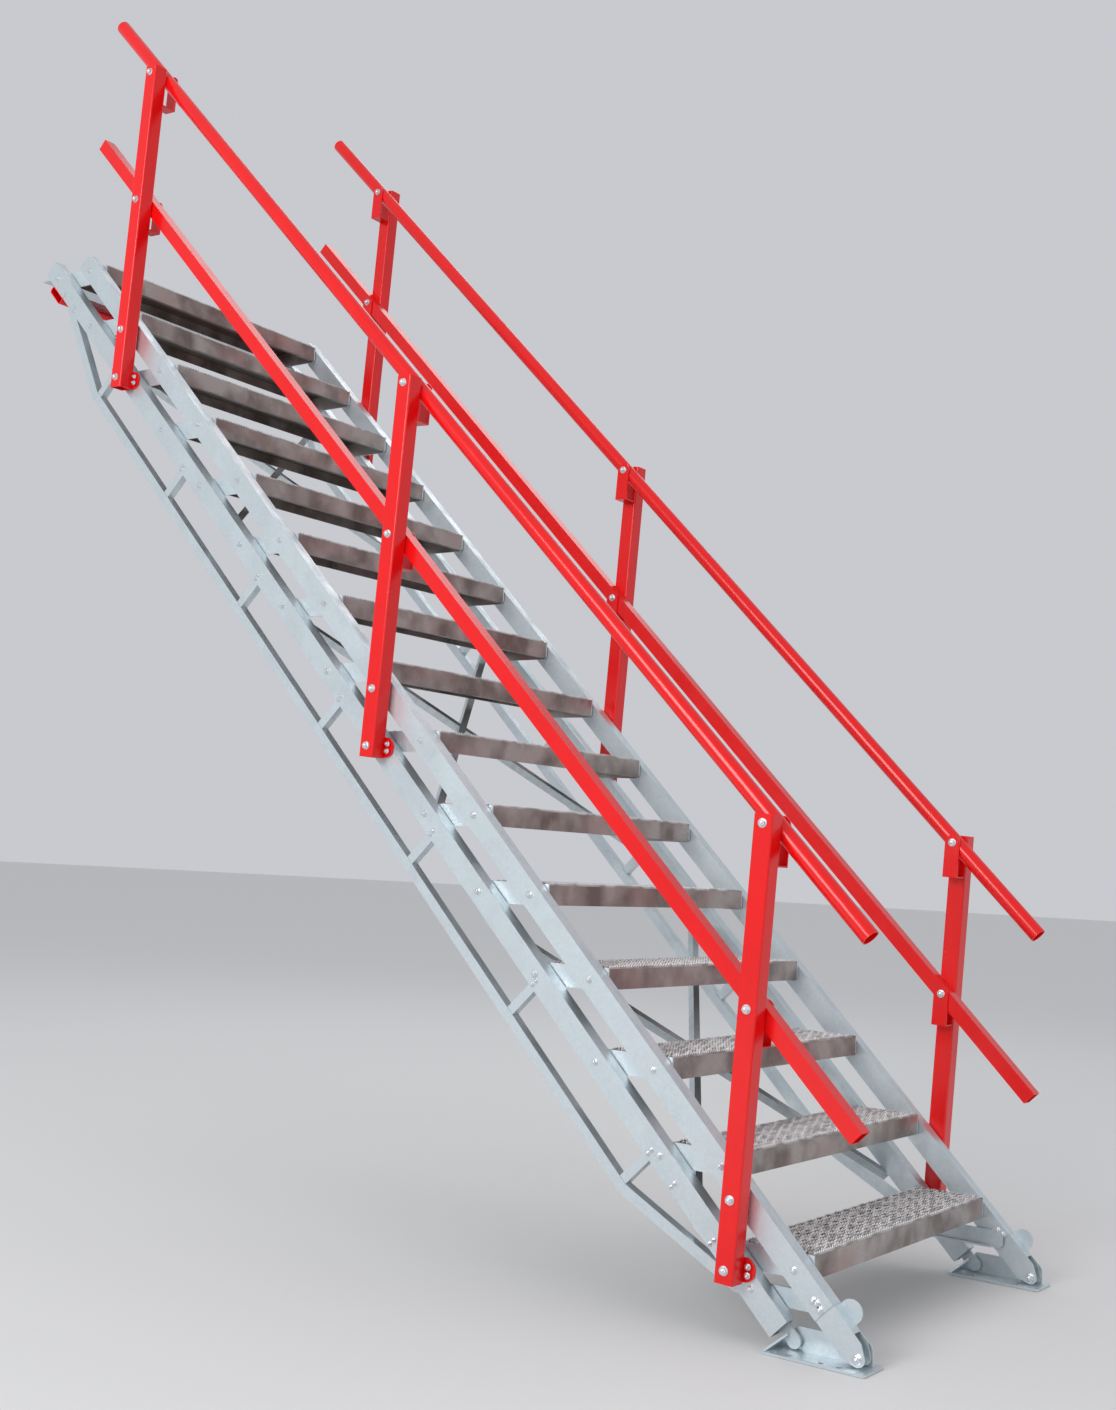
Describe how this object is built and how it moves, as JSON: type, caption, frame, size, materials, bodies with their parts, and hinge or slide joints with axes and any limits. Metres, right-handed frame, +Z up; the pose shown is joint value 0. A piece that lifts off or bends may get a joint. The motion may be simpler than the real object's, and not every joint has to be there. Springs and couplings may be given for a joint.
{
  "type": "adjustable stair",
  "caption": "Adjustable-slope steel stair: level treads pivoted between paired rails on hinged feet, with braced rear rails and pivoting red posts and handrails.",
  "frame": {"origin": "on the ground face of the left foot plate, straight below its front pivot", "axes": "+X across the stair to the climber's right, +Y uphill, +Z up"},
  "size_m": [1.221, 3.3095, 3.8596],
  "materials": {
    "galvanised_steel": "hot-dip galvanised, light blue-grey with faint spangle",
    "red_paint": "glossy red paint"
  },
  "bodies": {
    "base": {"foot_plate_left": "galvanised_steel", "foot_plate_right": "galvanised_steel"},
    "front_frame": {"front_rail_left": "galvanised_steel", "front_rail_right": "galvanised_steel", "front_leg_left": "galvanised_steel", "front_leg_right": "galvanised_steel"},
    "rear_frame": {"rear_rail_left": "galvanised_steel", "rear_rail_right": "galvanised_steel", "truss_chord_left": "galvanised_steel", "truss_chord_right": "galvanised_steel", "truss_struts_left": "galvanised_steel", "truss_struts_right": "galvanised_steel", "top_cross_bar": "red_paint", "cross_brace_lower": "galvanised_steel", "cross_brace_middle": "galvanised_steel", "cross_brace_upper": "galvanised_steel"},
    "bottom_links": {"bottom_link_left": "galvanised_steel", "bottom_link_right": "galvanised_steel"},
    "tread_01": {"tread_01": "galvanised_steel"},
    "tread_02": {"tread_02": "galvanised_steel"},
    "tread_03": {"tread_03": "galvanised_steel"},
    "tread_04": {"tread_04": "galvanised_steel"},
    "tread_05": {"tread_05": "galvanised_steel"},
    "tread_06": {"tread_06": "galvanised_steel"},
    "tread_07": {"tread_07": "galvanised_steel"},
    "tread_08": {"tread_08": "galvanised_steel"},
    "tread_09": {"tread_09": "galvanised_steel"},
    "tread_10": {"tread_10": "galvanised_steel"},
    "tread_11": {"tread_11": "galvanised_steel"},
    "tread_12": {"tread_12": "galvanised_steel"},
    "tread_13": {"tread_13": "galvanised_steel"},
    "tread_14": {"tread_14": "galvanised_steel"},
    "tread_15": {"tread_15": "galvanised_steel", "landing_plate": "galvanised_steel"},
    "post_pair_1": {"post_1_left": "red_paint", "post_1_right": "red_paint"},
    "post_pair_2": {"post_2_left": "red_paint", "post_2_right": "red_paint"},
    "post_pair_3": {"post_3_left": "red_paint", "post_3_right": "red_paint"},
    "top_handrails": {"top_handrail_left": "red_paint", "top_handrail_right": "red_paint"},
    "mid_handrails": {"mid_handrail_left": "red_paint", "mid_handrail_right": "red_paint"}
  },
  "joints": [
    {"name": "slope", "type": "hinge", "parent": "base", "child": "front_frame", "pos_m": [0, 0, 0.026], "axis": [1, 0, 0], "range_deg": [-15, 15]},
    {"name": "rear_frame_pivot", "type": "hinge", "parent": "base", "child": "rear_frame", "pos_m": [0, 0.17, 0.026], "axis": [1, 0, 0], "range_deg": [-15, 15]},
    {"name": "bottom_links_pivot", "type": "hinge", "parent": "front_frame", "child": "bottom_links", "pos_m": [0, 0.10112, 0.12712], "axis": [1, 0, 0], "range_deg": [-15, 15]},
    {"name": "tread_01_pivot", "type": "hinge", "parent": "front_frame", "child": "tread_01", "pos_m": [0, 0.16264, 0.18863], "axis": [1, 0, 0], "range_deg": [-15, 15]},
    {"name": "tread_02_pivot", "type": "hinge", "parent": "front_frame", "child": "tread_02", "pos_m": [0, 0.36275, 0.38875], "axis": [1, 0, 0], "range_deg": [-15, 15]},
    {"name": "tread_03_pivot", "type": "hinge", "parent": "front_frame", "child": "tread_03", "pos_m": [0, 0.56286, 0.58886], "axis": [1, 0, 0], "range_deg": [-15, 15]},
    {"name": "tread_04_pivot", "type": "hinge", "parent": "front_frame", "child": "tread_04", "pos_m": [0, 0.76297, 0.78897], "axis": [1, 0, 0], "range_deg": [-15, 15]},
    {"name": "tread_05_pivot", "type": "hinge", "parent": "front_frame", "child": "tread_05", "pos_m": [0, 0.96308, 0.98908], "axis": [1, 0, 0], "range_deg": [-15, 15]},
    {"name": "tread_06_pivot", "type": "hinge", "parent": "front_frame", "child": "tread_06", "pos_m": [0, 1.16319, 1.18919], "axis": [1, 0, 0], "range_deg": [-15, 15]},
    {"name": "tread_07_pivot", "type": "hinge", "parent": "front_frame", "child": "tread_07", "pos_m": [0, 1.3633, 1.3893], "axis": [1, 0, 0], "range_deg": [-15, 15]},
    {"name": "tread_08_pivot", "type": "hinge", "parent": "front_frame", "child": "tread_08", "pos_m": [0, 1.56341, 1.58941], "axis": [1, 0, 0], "range_deg": [-15, 15]},
    {"name": "tread_09_pivot", "type": "hinge", "parent": "front_frame", "child": "tread_09", "pos_m": [0, 1.76352, 1.78952], "axis": [1, 0, 0], "range_deg": [-15, 15]},
    {"name": "tread_10_pivot", "type": "hinge", "parent": "front_frame", "child": "tread_10", "pos_m": [0, 1.96364, 1.98964], "axis": [1, 0, 0], "range_deg": [-15, 15]},
    {"name": "tread_11_pivot", "type": "hinge", "parent": "front_frame", "child": "tread_11", "pos_m": [0, 2.16375, 2.18975], "axis": [1, 0, 0], "range_deg": [-15, 15]},
    {"name": "tread_12_pivot", "type": "hinge", "parent": "front_frame", "child": "tread_12", "pos_m": [0, 2.36386, 2.38986], "axis": [1, 0, 0], "range_deg": [-15, 15]},
    {"name": "tread_13_pivot", "type": "hinge", "parent": "front_frame", "child": "tread_13", "pos_m": [0, 2.56397, 2.58997], "axis": [1, 0, 0], "range_deg": [-15, 15]},
    {"name": "tread_14_pivot", "type": "hinge", "parent": "front_frame", "child": "tread_14", "pos_m": [0, 2.76408, 2.79008], "axis": [1, 0, 0], "range_deg": [-15, 15]},
    {"name": "tread_15_pivot", "type": "hinge", "parent": "front_frame", "child": "tread_15", "pos_m": [0, 2.96419, 2.99019], "axis": [1, 0, 0], "range_deg": [-15, 15]},
    {"name": "post_pair_1_pivot", "type": "hinge", "parent": "front_frame", "child": "post_pair_1", "pos_m": [0, 0.30264, 0.32864], "axis": [1, 0, 0], "range_deg": [-15, 15]},
    {"name": "post_pair_2_pivot", "type": "hinge", "parent": "front_frame", "child": "post_pair_2", "pos_m": [0, 1.50331, 1.52931], "axis": [1, 0, 0], "range_deg": [-15, 15]},
    {"name": "post_pair_3_pivot", "type": "hinge", "parent": "front_frame", "child": "post_pair_3", "pos_m": [0, 2.70398, 2.72998], "axis": [1, 0, 0], "range_deg": [-15, 15]},
    {"name": "top_handrails_pivot", "type": "hinge", "parent": "post_pair_2", "child": "top_handrails", "pos_m": [0, 1.4595, 2.3942], "axis": [1, 0, 0], "range_deg": [-15, 15]},
    {"name": "mid_handrails_pivot", "type": "hinge", "parent": "post_pair_2", "child": "mid_handrails", "pos_m": [0, 1.4813, 1.96375], "axis": [1, 0, 0], "range_deg": [-15, 15]}
  ],
  "couplings": [
    {"joint": "rear_frame_pivot", "follows": "slope", "ratio": 1},
    {"joint": "bottom_links_pivot", "follows": "slope", "ratio": -1},
    {"joint": "tread_01_pivot", "follows": "slope", "ratio": -1},
    {"joint": "tread_02_pivot", "follows": "slope", "ratio": -1},
    {"joint": "tread_03_pivot", "follows": "slope", "ratio": -1},
    {"joint": "tread_04_pivot", "follows": "slope", "ratio": -1},
    {"joint": "tread_05_pivot", "follows": "slope", "ratio": -1},
    {"joint": "tread_06_pivot", "follows": "slope", "ratio": -1},
    {"joint": "tread_07_pivot", "follows": "slope", "ratio": -1},
    {"joint": "tread_08_pivot", "follows": "slope", "ratio": -1},
    {"joint": "tread_09_pivot", "follows": "slope", "ratio": -1},
    {"joint": "tread_10_pivot", "follows": "slope", "ratio": -1},
    {"joint": "tread_11_pivot", "follows": "slope", "ratio": -1},
    {"joint": "tread_12_pivot", "follows": "slope", "ratio": -1},
    {"joint": "tread_13_pivot", "follows": "slope", "ratio": -1},
    {"joint": "tread_14_pivot", "follows": "slope", "ratio": -1},
    {"joint": "tread_15_pivot", "follows": "slope", "ratio": -1},
    {"joint": "post_pair_1_pivot", "follows": "slope", "ratio": -1},
    {"joint": "post_pair_2_pivot", "follows": "slope", "ratio": -1},
    {"joint": "post_pair_3_pivot", "follows": "slope", "ratio": -1},
    {"joint": "top_handrails_pivot", "follows": "slope", "ratio": 1},
    {"joint": "mid_handrails_pivot", "follows": "slope", "ratio": 1}
  ]
}
